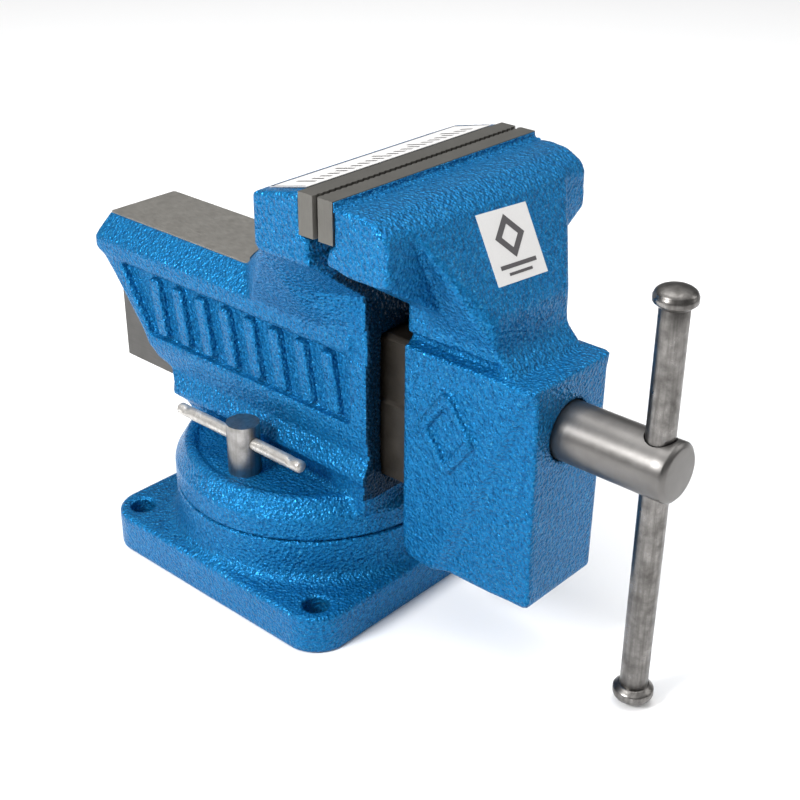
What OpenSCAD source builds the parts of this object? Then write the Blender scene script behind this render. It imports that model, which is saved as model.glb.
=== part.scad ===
// Bench vise on a swivel base, in millimetres.
// Origin: centre of the base's underside, on the swivel axis.
// X runs along the jaws, Y along the spindle (the handle is at -Y, the anvil at +Y), Z is up.

/* [Jaws] */
// Width of the jaws and of the jaw plates
jaw_w = 115; // [110:1:120]
// Height of the jaw plates' top edge above the bench
jaw_top = 194.4; // [193:0.2:196]
// Height of a jaw plate
plate_h = 16.2; // [15:0.2:18]
// Thickness of a jaw plate
plate_t = 7.7; // [7:0.1:8.5]
// Place of the fixed plate's gripping face along Y
grip_y = -61.3; // [-62:0.1:-61]
// Gap between the two gripping faces at rest
jaw_gap = 1.5; // [1.45:0.05:3]
// Pitch of the serrations on the gripping faces
tooth_pitch = 2.875; // [2.3:0.575:5.75]
// Depth of the serrations
tooth_depth = 0.6; // [0.3:0.1:0.8]

/* [Swivel base] */
// Side of the square base plate
base_w = 136; // [134:1:144]
// Thickness of the base plate
base_t = 17.7; // [16:0.1:19]
// Radius of the plate's corners
base_corner_r = 16; // [8:1:20]
// Distance between neighbouring mounting holes
hole_pitch = 112; // [110:1:114]
// Diameter of the mounting holes
hole_d = 11; // [9:0.5:12]
// Radius of the turret and of the round boss under it
turret_r = 62.4; // [61:0.2:64]
// Height of the boss's top face
boss_top = 36.3; // [35.5:0.1:36.4]
// Radius of the centre spigot
spigot_r = 20; // [18:0.5:22]

/* [Fixed body] */
// Height of the anvil face
anvil_z = 136; // [135:0.5:138]
// Half the width of the anvil face
anvil_hw = 18.8; // [17:0.2:20]
// Y of the anvil's rear end
anvil_end = 111.6; // [110:0.2:113]
// Half the width over the side rails
rail_hw = 28; // [27.5:0.1:28.5]
// Depth of the sunk side panels
panel_depth = 3; // [1:0.5:3.5]
// Y of the body's front face
front_y = -58.5; // [-59:0.1:-58]

/* [Slide and spindle] */
// Height of the spindle's axis
spindle_z = 106.4; // [106:0.1:107]
// Diameter of the spindle's head
spindle_d = 23.8; // [23.5:0.1:24.2]
// Outer diameter of the screw thread
thread_d = 20; // [19.5:0.1:20.2]
// Pitch of the screw thread
thread_pitch = 4; // [3:0.5:5]
// Half the width of the slide
slide_hw = 19; // [18.5:0.1:19]
// Y of the slide's rear end
slide_end = 107.5; // [106:0.5:109]

/* [Handle] */
// Diameter of the handle bar
bar_d = 11; // [10:0.1:11]
// Length of the bar over its end caps
bar_len = 175; // [170:0.5:177]
// Height of the lower cap's end above the bench
bar_low = 1; // [0.5:0.5:15]

/* [Swivel locks] */
// Distance of each lock bolt from the swivel axis
lock_r = 42; // [41.5:0.1:42.5]
// Diameter of a lock nut
lock_nut_d = 14.3; // [13.8:0.1:15]
// Diameter of a lock bar
lock_bar_d = 5.4; // [4.6:0.1:5.6]
// Length of a lock bar
lock_bar_len = 76; // [70:1:78]

/* [Hidden] */
$fn = 64;

// Gap between bodies that slide or turn on each other
slip = 0.3;
// Radial clearance of a shaft that turns in its hole
fit_gap = 0.06;
// Overlap that joins neighbouring solids of one casting
join = 0.5;

// Base and turret
boss_foot_r = 66;
cavity_r = 54;
cavity_h = 9.5;
slot_w = 8.8;
head_l = 17;
head_w = 12;
head_h = 7;
head_z = 17.4;
undercut_z = 17;
undercut_top = 24.8;
bolt_d = 8;
turret_z = boss_top + slip;
deck_z = 53;
rim_z = 55.3;
rim_r = 55.3;
rim_edge_z = 46;
spigot_low = 13;

// Fixed jaw: rear at its middle, height of its rear crest, and radius of the rear face's bow
head_rear = -25.3;
crest_z = 188.6;
head_bow_r = 415;

// Foot at the body's front: half widths and height
foot_rear_hw = 25;
foot_front_hw = 30;
foot_h = 18;

// Tunnel in the fixed body, and the slide that runs in it
tunnel_hw = slide_hw + slip;
slide_low = 64.5;
slide_step_z = 98;
slide_step = 1.2;
slide_top = 127.5;
channel_hw = 13;
channel_top = 121;
tunnel_low = slide_low - slip;
tunnel_top = slide_top + slip;

// Movable jaw
box_front = -136.6;
box_rear = -74.3;
box_top = 130.5;
box_low = 34.5;
box_hw = 24.8;
box_low_hw = 21.4;
crease_y = -90.5;
neck_hw = 21.5;
pocket_hw = 16;
wall_in = -112.6;
pocket_low = 46;
move_plate_y = grip_y - jaw_gap;
wing_front = -96.3;
prow_hw = 45;
prow_top = 186;
prow_nose = -117;
prow_low = 150;

// Spindle
journal_r = thread_d / 2;
head_end = -183.2;
shoulder_y = -124.6;
washer_t = 2;
counterbore_d = spindle_d + 0.8;
collar_y = wall_in + slip;
collar_t = 9;
collar_d = 29;
pin_d = 4;
thread_start = -96;
thread_end = 93;
thread_root = 2.2;

// Spindle nut
nut_hw = 12.4;
nut_front = -50;
nut_rear = -15;
nut_top = 120.4;
nut_bolt_y = -33;
nut_bolt_d = 10;
bolt_head_d = 16;
bolt_head_h = 10;

// Handle
handle_y = -174;
bar_hole_d = bar_d + 2 * slip;
cap_d = 15.9;
cap_h = 7.7;
cap_rim = 4.2;
cap_bore = 5;

// Jaw plate screws
screw_x = 34;
screw_d = 6;
screw_head_d = 11.5;
screw_head_h = 3.2;
screw_len = 20;

// Labels
label_t = 0.25;
label_w = 104;
label_gap = 0.02;
jaw_label_h = 20;
front_label_w = 28;
front_label_h = 27;

// A child's outline in Y and Z, run along X to both sides
module along_x(half) {
  rotate([90, 0, 90]) translate([0, 0, -half]) linear_extrude(2 * half) children();
}

// A child's outline in X and Z, run along Y from y0 to y1
module along_y(y0, y1) {
  translate([0, y1, 0]) rotate([90, 0, 0]) linear_extrude(y1 - y0) children();
}

// A round rod along Y from y0 to y1
module rod_y(r, y0, y1, x = 0, z = 0) {
  translate([x, y0, z]) rotate([-90, 0, 0]) cylinder(r = r, h = y1 - y0);
}

// The same outline on both sides of the middle plane
function both_sides(points) =
  concat(points, [for (i = [len(points) - 1:-1:0]) [-points[i][0], points[i][1]]]);

// Points on an arc about c, from angle a0 to a1
function arc(c, r, a0, a1, steps = 6) =
  [for (i = [0:steps]) let (a = a0 + (a1 - a0) * i / steps) c + r * [cos(a), sin(a)]];

module rounded_square(w, r) {
  square([w - 2 * r, w], center = true);
  square([w, w - 2 * r], center = true);
  for (x = [-1, 1], y = [-1, 1]) translate([x, y] * (w / 2 - r)) circle(r = r);
}

// Ring between two radii and two heights, about the swivel axis
module ring(r0, r1, z0, z1) {
  rotate_extrude() translate([r0, z0]) square([r1 - r0, z1 - z0]);
}

// Swivel base: plate, boss, bore for the spigot and round T-slot for the lock bolts
module swivel_base() {
  fillet_r = boss_foot_r - turret_r;
  color("steelblue") difference() {
    union() {
      linear_extrude(base_t) rounded_square(base_w, base_corner_r);
      rotate_extrude() polygon(concat(
        [[0, base_t - join], [boss_foot_r, base_t - join]],
        arc([boss_foot_r, base_t + fillet_r], fillet_r, 270, 180),
        [[turret_r, boss_top - 1], [turret_r - 1, boss_top], [0, boss_top]]
      ));
    }
    for (x = [-1, 1], y = [-1, 1]) translate([x, y, 0] * hole_pitch / 2) {
      translate([0, 0, -1]) cylinder(d = hole_d, h = base_t + 2);
    }
    translate([0, 0, -1]) cylinder(r = cavity_r, h = cavity_h + 1);
    translate([0, 0, -1]) cylinder(r = spigot_r + fit_gap, h = boss_top + 2);
    ring(lock_r - slot_w / 2, lock_r + slot_w / 2, undercut_z, boss_top + 1);
    ring(lock_r - head_l / 2 - 0.5, lock_r + head_l / 2 + 0.5, undercut_z, undercut_top);
    translate([0, lock_r, undercut_z]) cylinder(d = head_l + 4, h = boss_top);
  }
}

// Side view of the body below the anvil: Y and Z, from the rear foot round to the front
function body_side() = [
  [front_y, deck_z - join], [50, deck_z - join], [57.5, 59], [61.5, 63.5], [61.5, 67],
  [67, 74], [74, 76.5], [78.5, 82.5], [81, 89], [101, 117.5], [107.5, 119.5],
  [anvil_end, 124.5], [anvil_end, anvil_z], [front_y, anvil_z]
];

// Front view of the body: half of it, X and Z, from the deck up to the anvil
function body_section() = [
  [24.5, deck_z - join], [27, 61], [29.5, 65.5], [29, 68], [rail_hw, 74], [rail_hw, 126.5],
  [27.3, 128.5], [anvil_hw, anvil_z]
];

// Fixed jaw seen from the side: Y and Z
function fixed_head_side() = [
  [front_y + 0.9, 166.5], [-33, 166], [head_rear - 0.5, 169], [head_rear, 185.5],
  [head_rear - 3.7, crest_z], [grip_y + plate_t, jaw_top], [grip_y + plate_t, jaw_top - plate_h],
  [front_y + 0.9, jaw_top - plate_h]
];

// Trapezoid that carries a jaw on the narrower neck: half of it, X and Z
function wing_section(foot_hw, foot_z, head_z) = [
  [foot_hw, foot_z], [foot_hw, foot_z + 16], [jaw_w / 2 - 0.5, head_z]
];

module turret() {
  rotate_extrude() polygon(concat(
    [[0, turret_z], [turret_r - 1, turret_z], [turret_r, turret_z + 1]],
    [for (a = [0:15:90]) [
      rim_r + (turret_r - rim_r) * cos(a),
      rim_edge_z + (rim_z - rim_edge_z) * sin(a)
    ]],
    [[rim_r - 2.5, deck_z], [0, deck_z]]
  ));
}

// Fixed body: turret, body with anvil, neck and fixed jaw, all one casting
module fixed_body() {
  color("steelblue") difference() {
    union() {
      turret();
      translate([0, 0, spigot_low]) cylinder(r = spigot_r, h = deck_z - spigot_low - 1);
      intersection() {
        along_x(40) polygon(body_side());
        along_y(front_y, anvil_end) polygon(both_sides(body_section()));
      }
      intersection() {
        along_x(jaw_w / 2) polygon(fixed_head_side());
        translate([0, head_rear - head_bow_r, 150]) cylinder(r = head_bow_r, h = 60);
      }
      // Foot that spreads towards the front
      hull() {
        translate([-foot_rear_hw, -20, deck_z - join]) cube([2 * foot_rear_hw, 1, 6]);
        translate([-foot_front_hw, front_y, deck_z - join - 3]) cube([2 * foot_front_hw, 1, foot_h]);
      }
      along_y(front_y, -34) polygon(both_sides(wing_section(25, 133, 167)));
      hull() {
        along_y(-36, -34) polygon(both_sides([[24, 131], [jaw_w / 2 - 1, 167]]));
        translate([-anvil_hw, -36, anvil_z - 4]) cube([2 * anvil_hw, 58, 4]);
      }
    }
    // Tunnel for the slide
    translate([-tunnel_hw, front_y - 1, tunnel_low])
      cube([2 * tunnel_hw, anvil_end - front_y + 2, tunnel_top - tunnel_low]);
    // Sunk panels on both flanks
    for (side = [-1, 1]) translate([side * (rail_hw - panel_depth + 10), 0, 0])
      along_x(10) polygon([[-49, 88], [75, 88], [94, 118.5], [-49, 118.5]]);
    // Lock bolt holes
    for (side = [-1, 1]) translate([side * lock_r, 0, 0]) cylinder(d = bolt_d + 0.6, h = deck_z + 10);
    // Counterbore and hole of the nut's bolt
    translate([0, nut_bolt_y, 0]) cylinder(d = bolt_head_d + 1, h = turret_z + bolt_head_h + 1);
    translate([0, nut_bolt_y, 0]) cylinder(d = nut_bolt_d + 0.6, h = tunnel_low + 1);
    // Threaded holes of the plate screws
    for (side = [-1, 1])
      rod_y(screw_d / 2 + 0.05, grip_y, grip_y + screw_len + 2, side * screw_x, jaw_top - plate_h / 2);
  }
}

// Serrated jaw plate: gripping face at y = 0, back at y = plate_t, with two countersunk holes
module jaw_plate() {
  teeth = round(jaw_w / tooth_pitch);
  step = jaw_w / teeth;
  difference() {
    translate([-jaw_w / 2, 0, jaw_top - plate_h]) linear_extrude(plate_h) polygon(concat(
      [[0, plate_t], [0, tooth_depth]],
      [for (i = [0:teeth - 1]) each [[(i + 0.5) * step, 0], [(i + 1) * step, tooth_depth]]],
      [[jaw_w, plate_t]]
    ));
    for (side = [-1, 1]) {
      rod_y(screw_d / 2 + 0.05, -1, plate_t + 1, side * screw_x, jaw_top - plate_h / 2);
      translate([side * screw_x, 0, jaw_top - plate_h / 2]) rotate([-90, 0, 0]) {
        translate([0, 0, -1]) cylinder(d = screw_head_d, h = 2.2);
        translate([0, 0, 1.2]) cylinder(d1 = screw_head_d, d2 = screw_d + 0.1, h = screw_head_h);
      }
    }
  }
}

// Two countersunk screws with hexagon sockets, heads sunk below a gripping face at y = 0
module plate_screws() {
  for (side = [-1, 1]) translate([side * screw_x, 0, jaw_top - plate_h / 2]) rotate([-90, 0, 0])
    difference() {
      union() {
        translate([0, 0, 1.3]) cylinder(d1 = screw_head_d - 0.2, d2 = screw_d, h = screw_head_h - 0.2);
        translate([0, 0, 1.3]) cylinder(d = screw_d, h = screw_len - 1.3);
      }
      translate([0, 0, 1]) cylinder(d = 4.4, h = 2.8, $fn = 6);
    }
}

module fixed_jaw_plate() {
  color("silver") translate([0, grip_y, 0]) jaw_plate();
}

module fixed_plate_screws() {
  color("dimgray") translate([0, grip_y, 0]) plate_screws();
}

module movable_jaw_plate() {
  color("silver") translate([0, move_plate_y, 0]) mirror([0, 1, 0]) jaw_plate();
}

module movable_plate_screws() {
  color("dimgray") translate([0, move_plate_y, 0]) mirror([0, 1, 0]) plate_screws();
}

// Spindle nut: block on the tunnel's floor, inside the slide's channel
module spindle_nut() {
  color("darkgoldenrod") difference() {
    translate([-nut_hw, nut_front, tunnel_low])
      cube([2 * nut_hw, nut_rear - nut_front, nut_top - tunnel_low]);
    rod_y(journal_r + fit_gap, nut_front - 1, nut_rear + 1, 0, spindle_z);
    translate([0, nut_bolt_y, tunnel_low - 1]) cylinder(d = nut_bolt_d + 0.1, h = 22);
  }
}

// Socket head bolt that holds the nut from below
module nut_bolt() {
  head_low = turret_z + 1;
  color("dimgray") translate([0, nut_bolt_y, head_low]) difference() {
    union() {
      cylinder(d = bolt_head_d, h = bolt_head_h);
      cylinder(d = nut_bolt_d, h = tunnel_low + 18 - head_low);
    }
    translate([0, 0, -1]) cylinder(d = 9, h = 6, $fn = 6);
  }
}

// Two T-head bolts of the swivel locks
module swivel_t_bolts() {
  color("dimgray") for (side = [-1, 1]) translate([side * lock_r, 0, head_z]) {
    translate([-head_l / 2, -head_w / 2, 0]) cube([head_l, head_w, head_h]);
    cylinder(d = bolt_d, h = 63 - head_z);
  }
}

// Blind lock nut with a cross hole for its bar
lock_bar_z = 68;
lock_nut_top = 76.3;
module lock_nut(side) {
  color("silver") translate([side * lock_r, 0, 0]) difference() {
    translate([0, 0, deck_z]) cylinder(d = lock_nut_d, h = lock_nut_top - deck_z);
    translate([0, 0, deck_z - 1]) cylinder(d = bolt_d + 0.1, h = 64 - deck_z + 1);
    rod_y(lock_bar_d / 2 + 0.2, -lock_nut_d, lock_nut_d, 0, lock_bar_z);
  }
}

// Lock bar with pinched ends, which keep it in its nut
module lock_bar(side) {
  offset_y = 2.9;
  pinch = 6;
  color("silver") translate([side * lock_r, offset_y, lock_bar_z]) {
    rod_y(lock_bar_d / 2, -lock_bar_len / 2, lock_bar_len / 2);
    for (end = [-1, 1]) translate([0, end * (lock_bar_len / 2 - pinch), 0])
      cube([lock_bar_d + 1, 3, lock_bar_d - 1.6], center = true);
  }
}

module left_lock_nut() { lock_nut(-1); }
module right_lock_nut() { lock_nut(1); }
module left_lock_bar() { lock_bar(-1); }
module right_lock_bar() { lock_bar(1); }

// Movable jaw seen from the side: Y and Z
function movable_head_side() = [
  [move_plate_y - plate_t + 4, 168.5], [-92.5, 167.8], [wing_front, 170.5], [wing_front, 183],
  [-95, 187], [-91, 190.8], [-85, 192.2], [move_plate_y - plate_t - 1, 192.8],
  [move_plate_y - plate_t, jaw_top - 2.5], [move_plate_y - plate_t, jaw_top - plate_h],
  [move_plate_y - plate_t + 4, jaw_top - plate_h]
];

// Slide seen from the end: half of it, X and Z, open below
function slide_section() = [
  [channel_hw, slide_low], [slide_hw, slide_low], [slide_hw, slide_step_z],
  [slide_hw - slide_step, slide_step_z + slide_step], [slide_hw - slide_step, slide_top - 2],
  [slide_hw - slide_step - 2, slide_top]
];

// Movable jaw: head, neck, box and hollow slide, all one casting
module movable_jaw() {
  color("steelblue") difference() {
    union() {
      along_x(jaw_w / 2 - 0.3) polygon(movable_head_side());
      along_y(wing_front, box_rear) polygon(both_sides(wing_section(neck_hw, 130, 169)));
      // Prow under the front of the head
      hull() {
        translate([-prow_hw, wing_front, prow_top - 5]) cube([2 * prow_hw, 6, 5]);
        translate([-neck_hw, prow_nose, prow_low - 4]) cube([2 * neck_hw, 30, 4]);
      }
      translate([-neck_hw, -119, box_top - join]) cube([2 * neck_hw, 24, 17]);
      // Box, its sides drawn in towards the lower front edge
      intersection() {
        along_x(30) polygon(concat(
          arc([box_front + 4, box_low + 4], 4, 180, 270),
          arc([box_rear - 9, box_low + 9], 9, 270, 360),
          [[box_rear, box_top], [box_front, box_top]]
        ));
        hull() {
          translate([-box_hw, box_front, box_top - 1]) cube([2 * box_hw, box_rear - box_front, 1]);
          translate([-box_hw, crease_y, box_low]) cube([2 * box_hw, box_rear - crease_y, 1]);
          translate([-box_low_hw, box_front, box_low]) cube([2 * box_low_hw, 1, 1]);
        }
      }
      along_y(box_rear - 5, slide_end) polygon(both_sides(slide_section()));
    }
    // Channel inside the slide and the pocket in the box
    translate([-channel_hw, box_rear - 6, slide_low - 1])
      cube([2 * channel_hw, slide_end - box_rear + 7, channel_top - slide_low + 1]);
    translate([-pocket_hw, wall_in, pocket_low])
      cube([2 * pocket_hw, box_rear - wall_in - 5, channel_top - pocket_low]);
    translate([-channel_hw, wall_in, pocket_low])
      cube([2 * channel_hw, box_rear - wall_in + 1, channel_top - pocket_low]);
    // Bearing of the spindle and the counterbore for its shoulder
    rod_y(journal_r + fit_gap, box_front - 1, wall_in + 1, 0, spindle_z);
    rod_y(counterbore_d / 2, box_front - 1, shoulder_y + washer_t, 0, spindle_z);
    for (side = [-1, 1])
      rod_y(screw_d / 2 + 0.05, move_plate_y - screw_len - 2, move_plate_y, side * screw_x,
        jaw_top - plate_h / 2);
  }
}

// Grooved part of the screw: rings of trapezoid profile
module thread() {
  turns = floor((thread_end - thread_start) / thread_pitch);
  root = journal_r - thread_root;
  translate([0, thread_start, spindle_z]) rotate([-90, 0, 0]) rotate_extrude() polygon(concat(
    [[0, 0], [journal_r, 0]],
    [for (i = [0:turns - 1]) each [
      [journal_r, (i + 0.2) * thread_pitch], [root, (i + 0.38) * thread_pitch],
      [root, (i + 0.72) * thread_pitch], [journal_r, (i + 0.9) * thread_pitch]
    ]],
    [[journal_r, turns * thread_pitch], [journal_r - 1.5, thread_end - thread_start],
     [0, thread_end - thread_start]]
  ));
}

module spindle() {
  edge = 1.2;
  color("silver") difference() {
    union() {
      translate([0, head_end, spindle_z]) rotate([-90, 0, 0]) {
        cylinder(d1 = spindle_d - 2 * edge, d2 = spindle_d, h = edge);
        translate([0, 0, edge]) cylinder(d = spindle_d, h = shoulder_y - head_end - edge);
      }
      rod_y(journal_r, shoulder_y - 1, thread_start + 1, 0, spindle_z);
      thread();
    }
    translate([0, handle_y, spindle_z - spindle_d]) cylinder(d = bar_hole_d, h = 2 * spindle_d);
    translate([0, collar_y + collar_t / 2, spindle_z - 20]) cylinder(d = pin_d, h = 40);
  }
}

module thrust_washer() {
  color("silver") difference() {
    rod_y(spindle_d / 2 - 0.1, shoulder_y, shoulder_y + washer_t - 0.05, 0, spindle_z);
    rod_y(journal_r + 0.1, shoulder_y - 1, shoulder_y + washer_t + 1, 0, spindle_z);
  }
}

module retaining_collar() {
  color("dimgray") difference() {
    rod_y(collar_d / 2, collar_y, collar_y + collar_t, 0, spindle_z);
    rod_y(journal_r + 0.03, collar_y - 1, collar_y + collar_t + 1, 0, spindle_z);
    translate([0, collar_y + collar_t / 2, spindle_z - 20]) cylinder(d = pin_d, h = 40);
  }
}

// Pin through the collar and the spindle
module collar_pin() {
  color("silver") translate([0, collar_y + collar_t / 2, spindle_z - collar_d / 2 + 0.5])
    cylinder(d = pin_d - 0.04, h = collar_d - 1);
}

module handle_bar() {
  color("silver") translate([0, handle_y, bar_low + cap_h - cap_bore])
    cylinder(d = bar_d, h = bar_len - 2 * (cap_h - cap_bore));
}

// Domed end cap with its bore for the bar at the bottom
module handle_cap() {
  r = cap_d / 2;
  difference() {
    rotate_extrude() polygon(concat(
      [[0, 0], [bar_d / 2 + 0.5, 0], [r - 0.4, 2], [r, 3], [r, cap_rim]],
      [for (a = [15:15:90]) [r * cos(a), cap_rim + (cap_h - cap_rim) * sin(a)]]
    ));
    translate([0, 0, -1]) cylinder(d = bar_d + 0.04, h = cap_bore + 1);
  }
}

module upper_handle_cap() {
  color("silver") translate([0, handle_y, bar_low + bar_len - cap_h]) handle_cap();
}

module lower_handle_cap() {
  color("silver") translate([0, handle_y, bar_low + cap_h]) mirror([0, 0, 1]) handle_cap();
}

// Paper strip on the sloping top behind the fixed plate
module jaw_label() {
  seat = grip_y + plate_t;
  slope = atan2(jaw_top - crest_z, head_rear - 3.7 - seat);
  color("white") translate([0, seat, jaw_top]) rotate([-slope, 0, 0])
    translate([-label_w / 2, 1, label_gap]) cube([label_w, jaw_label_h, label_t]);
}

// Paper label on the prow of the movable jaw
module front_label() {
  tilt = atan2(wing_front - prow_nose, prow_top - prow_low);
  middle_z = 171.7;
  middle_y = wing_front - (prow_top - middle_z) * tan(tilt);
  color("white") translate([0.5, middle_y, middle_z]) rotate([90 - tilt, 0, 0]) rotate([0, 0, -4])
    translate([-front_label_w / 2, -front_label_h / 2, label_gap])
    cube([front_label_w, front_label_h, label_t]);
}

swivel_base();
fixed_body();
fixed_jaw_plate();
fixed_plate_screws();
spindle_nut();
nut_bolt();
swivel_t_bolts();
left_lock_nut();
left_lock_bar();
right_lock_nut();
right_lock_bar();
movable_jaw();
movable_jaw_plate();
movable_plate_screws();
spindle();
thrust_washer();
retaining_collar();
collar_pin();
handle_bar();
upper_handle_cap();
lower_handle_cap();
jaw_label();
front_label();
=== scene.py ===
"""Looks of the bench vise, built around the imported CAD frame.

Lengths inside the modelling code are millimetres, in the frame's own axes: X along the jaws,
Y along the spindle with the handle at -Y, Z up from the base's underside.
"""

import math

import bmesh
import bpy
import numpy as np
import openvdb as vdb
from mathutils import Matrix, Vector


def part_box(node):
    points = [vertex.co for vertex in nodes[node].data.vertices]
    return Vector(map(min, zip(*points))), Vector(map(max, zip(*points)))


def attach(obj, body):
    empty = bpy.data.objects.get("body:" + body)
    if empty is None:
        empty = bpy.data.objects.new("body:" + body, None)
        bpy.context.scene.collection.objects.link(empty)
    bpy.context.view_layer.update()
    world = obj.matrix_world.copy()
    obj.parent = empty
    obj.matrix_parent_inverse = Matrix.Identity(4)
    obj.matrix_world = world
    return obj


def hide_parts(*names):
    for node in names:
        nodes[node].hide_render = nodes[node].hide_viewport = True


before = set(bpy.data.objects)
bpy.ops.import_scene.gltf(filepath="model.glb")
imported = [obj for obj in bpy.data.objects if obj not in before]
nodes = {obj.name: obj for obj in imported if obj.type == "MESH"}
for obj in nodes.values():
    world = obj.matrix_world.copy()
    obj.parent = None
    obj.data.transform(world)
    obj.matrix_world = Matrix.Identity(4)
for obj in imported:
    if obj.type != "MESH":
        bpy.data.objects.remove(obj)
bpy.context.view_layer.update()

# Metres in a millimetre, spacing of the sample points in millimetres, and the angle of a sharp edge
MM = 0.001
VOXEL = 1.0
SHARP = math.radians(38)


def corners(node):
    """Lowest and highest corner of a CAD node, in millimetres."""
    low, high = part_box(node)
    return low / MM, high / MM


# ---------------------------------------------------------------- distance fields

class Space:
    """A block of sample points; fields over it are arrays of signed distance, negative inside."""

    def __init__(self, low, high, step):
        self.low, self.step = np.array(low, np.float32), step
        counts = [int(math.ceil((b - a) / step)) + 1 for a, b in zip(low, high)]
        axes = [np.float32(a) + np.float32(step) * np.arange(n, dtype=np.float32)
                for a, n in zip(low, counts)]
        self.x = axes[0][:, None, None]
        self.y = axes[1][None, :, None]
        self.z = axes[2][None, None, :]
        self.side = np.abs(self.x)

    def box(self, low, high, edge=0.0):
        """Block between two corners, with rounded edges."""
        gaps = [np.abs(w - (a + b) / 2) - (b - a) / 2 + edge
                for w, a, b in zip((self.x, self.y, self.z), low, high)]
        out = np.sqrt(sum(np.maximum(g, 0) ** 2 for g in gaps))
        return out + np.minimum(np.maximum(np.maximum(*gaps[:2]), gaps[2]), 0) - edge

    def rod(self, axis, centre, radius, low, high, edge=0.0):
        """Cylinder along axis 0, 1 or 2 between two heights."""
        coords = [self.x, self.y, self.z]
        along = coords.pop(axis)
        across = np.hypot(coords[0] - centre[0], coords[1] - centre[1]) - radius
        return extrude(across, along, low, high, edge)

    def hull(self, points, edge=0.0):
        """Convex solid around some points."""
        shape = bmesh.new()
        for p in points:
            shape.verts.new(p)
        bmesh.ops.convex_hull(shape, input=shape.verts)
        shape.normal_update()
        planes = {}
        for face in shape.faces:
            n = face.normal
            key = (round(n.x, 2), round(n.y, 2), round(n.z, 2), round(n.dot(face.verts[0].co)))
            planes.setdefault(key, (n.copy(), n.dot(face.verts[0].co)))
        shape.free()
        solid = None
        for n, offset in planes.values():
            wall = n.x * self.x + n.y * self.y + n.z * self.z - offset
            solid = wall if solid is None else meet(solid, wall, edge)
        return solid

    def revolve(self, outline):
        """Outline in radius and height, turned about the Z axis."""
        radius = np.hypot(self.x, self.y)[:, :, 0]
        table = np.arange(0, radius.max() + 1, 0.5)
        heights = self.z[0, 0, :]
        section = outline_distance(table[:, None], heights[None, :], outline)
        solid = np.empty(radius.shape + heights.shape, np.float32)
        for k in range(len(heights)):
            solid[:, :, k] = np.interp(radius, table, section[:, k])
        return solid


def outline_distance(u, v, points):
    """Signed distance from a closed outline in a plane."""
    u, v = np.broadcast_arrays(u, v)
    nearest = np.full(u.shape, 1e6)
    inside = np.zeros(u.shape, bool)
    for (au, av), (bu, bv) in zip(points, points[1:] + points[:1]):
        du, dv = bu - au, bv - av
        span = du * du + dv * dv
        if span == 0:
            continue
        t = np.clip(((u - au) * du + (v - av) * dv) / span, 0, 1)
        nearest = np.minimum(nearest, np.hypot(u - au - t * du, v - av - t * dv))
        if dv != 0:
            inside ^= ((av > v) != (bv > v)) & (u < au + (v - av) * du / dv)
    return np.where(inside, -nearest, nearest).astype(np.float32)


def rounded(points, radius, steps=5):
    """Outline with its corners rounded; a third number in a point is that corner's own radius."""
    result = []
    for i, point in enumerate(points):
        r = point[2] if len(point) > 2 else radius
        before, at, after = (Vector(points[j % len(points)][:2]) for j in (i - 1, i, i + 1))
        back, ahead = before - at, after - at
        half = back.angle(ahead) / 2
        if r <= 0 or half > math.radians(88):
            result.append((at.x, at.y))
            continue
        cut = min(r / math.tan(half), 0.48 * back.length, 0.48 * ahead.length)
        start, end = at + back.normalized() * cut, at + ahead.normalized() * cut
        for k in range(steps + 1):
            t = k / steps
            p = start * (1 - t) ** 2 + at * 2 * t * (1 - t) + end * t * t
            result.append((p.x, p.y))
    return result


def extrude(outline, along, low, high, edge=0.0):
    """An outline's distance run between two heights, with its end edges rounded."""
    wall = outline + edge
    cap = np.abs(along - (low + high) / 2) - (high - low) / 2 + edge
    return np.minimum(np.maximum(wall, cap), 0) + np.hypot(np.maximum(wall, 0), np.maximum(cap, 0)) - edge


def join(a, b, fillet=0.0):
    """Union, with a fillet where the two meet."""
    if fillet <= 0:
        return np.minimum(a, b)
    near = np.maximum(fillet - np.abs(a - b), 0)
    return np.minimum(a, b) - near * near / (4 * fillet)


def meet(a, b, edge=0.0):
    """Intersection, with its edge rounded."""
    return -join(-a, -b, edge)


def carve(a, b, edge=0.0):
    """First solid without the second, with the new edge rounded."""
    return -join(-a, b, edge)


def skin(name, space, field):
    """Mesh of a field's zero surface."""
    grid = vdb.FloatGrid()
    reach = 9
    grid.copyFromArray(np.ascontiguousarray(np.clip(field, -reach, reach), dtype=np.float32))
    points, quads = grid.convertToQuads(isovalue=0.0)
    points = (points * space.step + space.low) * MM
    mesh = bpy.data.meshes.new(name)
    mesh.from_pydata(points.tolist(), [], quads[:, ::-1].tolist())
    mesh.validate()
    piece = bpy.data.objects.new(name, mesh)
    bpy.context.scene.collection.objects.link(piece)
    mesh.shade_smooth()
    centre = points.mean(0)
    outward = sum(face.normal.dot(face.center - Vector(centre)) for face in list(mesh.polygons)[::97])
    if outward < 0:
        mesh.flip_normals()
    return piece


# ---------------------------------------------------------------- mesh helpers

def mesh_piece(name, points, faces, smooth=True):
    """Object from points in millimetres and faces."""
    mesh = bpy.data.meshes.new(name)
    mesh.from_pydata([tuple(Vector(p) * MM) for p in points], [], faces)
    mesh.validate()
    piece = bpy.data.objects.new(name, mesh)
    bpy.context.scene.collection.objects.link(piece)
    if smooth:
        mesh.shade_smooth()
    return piece


def soften(piece, width, segments=2):
    """Small rounded edges, with flat faces kept flat in the shading."""
    bevel = piece.modifiers.new("edges", "BEVEL")
    bevel.width = width * MM
    bevel.segments = segments
    bevel.limit_method = "ANGLE"
    bevel.angle_limit = math.radians(35)
    bevel.harden_normals = True
    piece.data.shade_smooth()
    return piece


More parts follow.
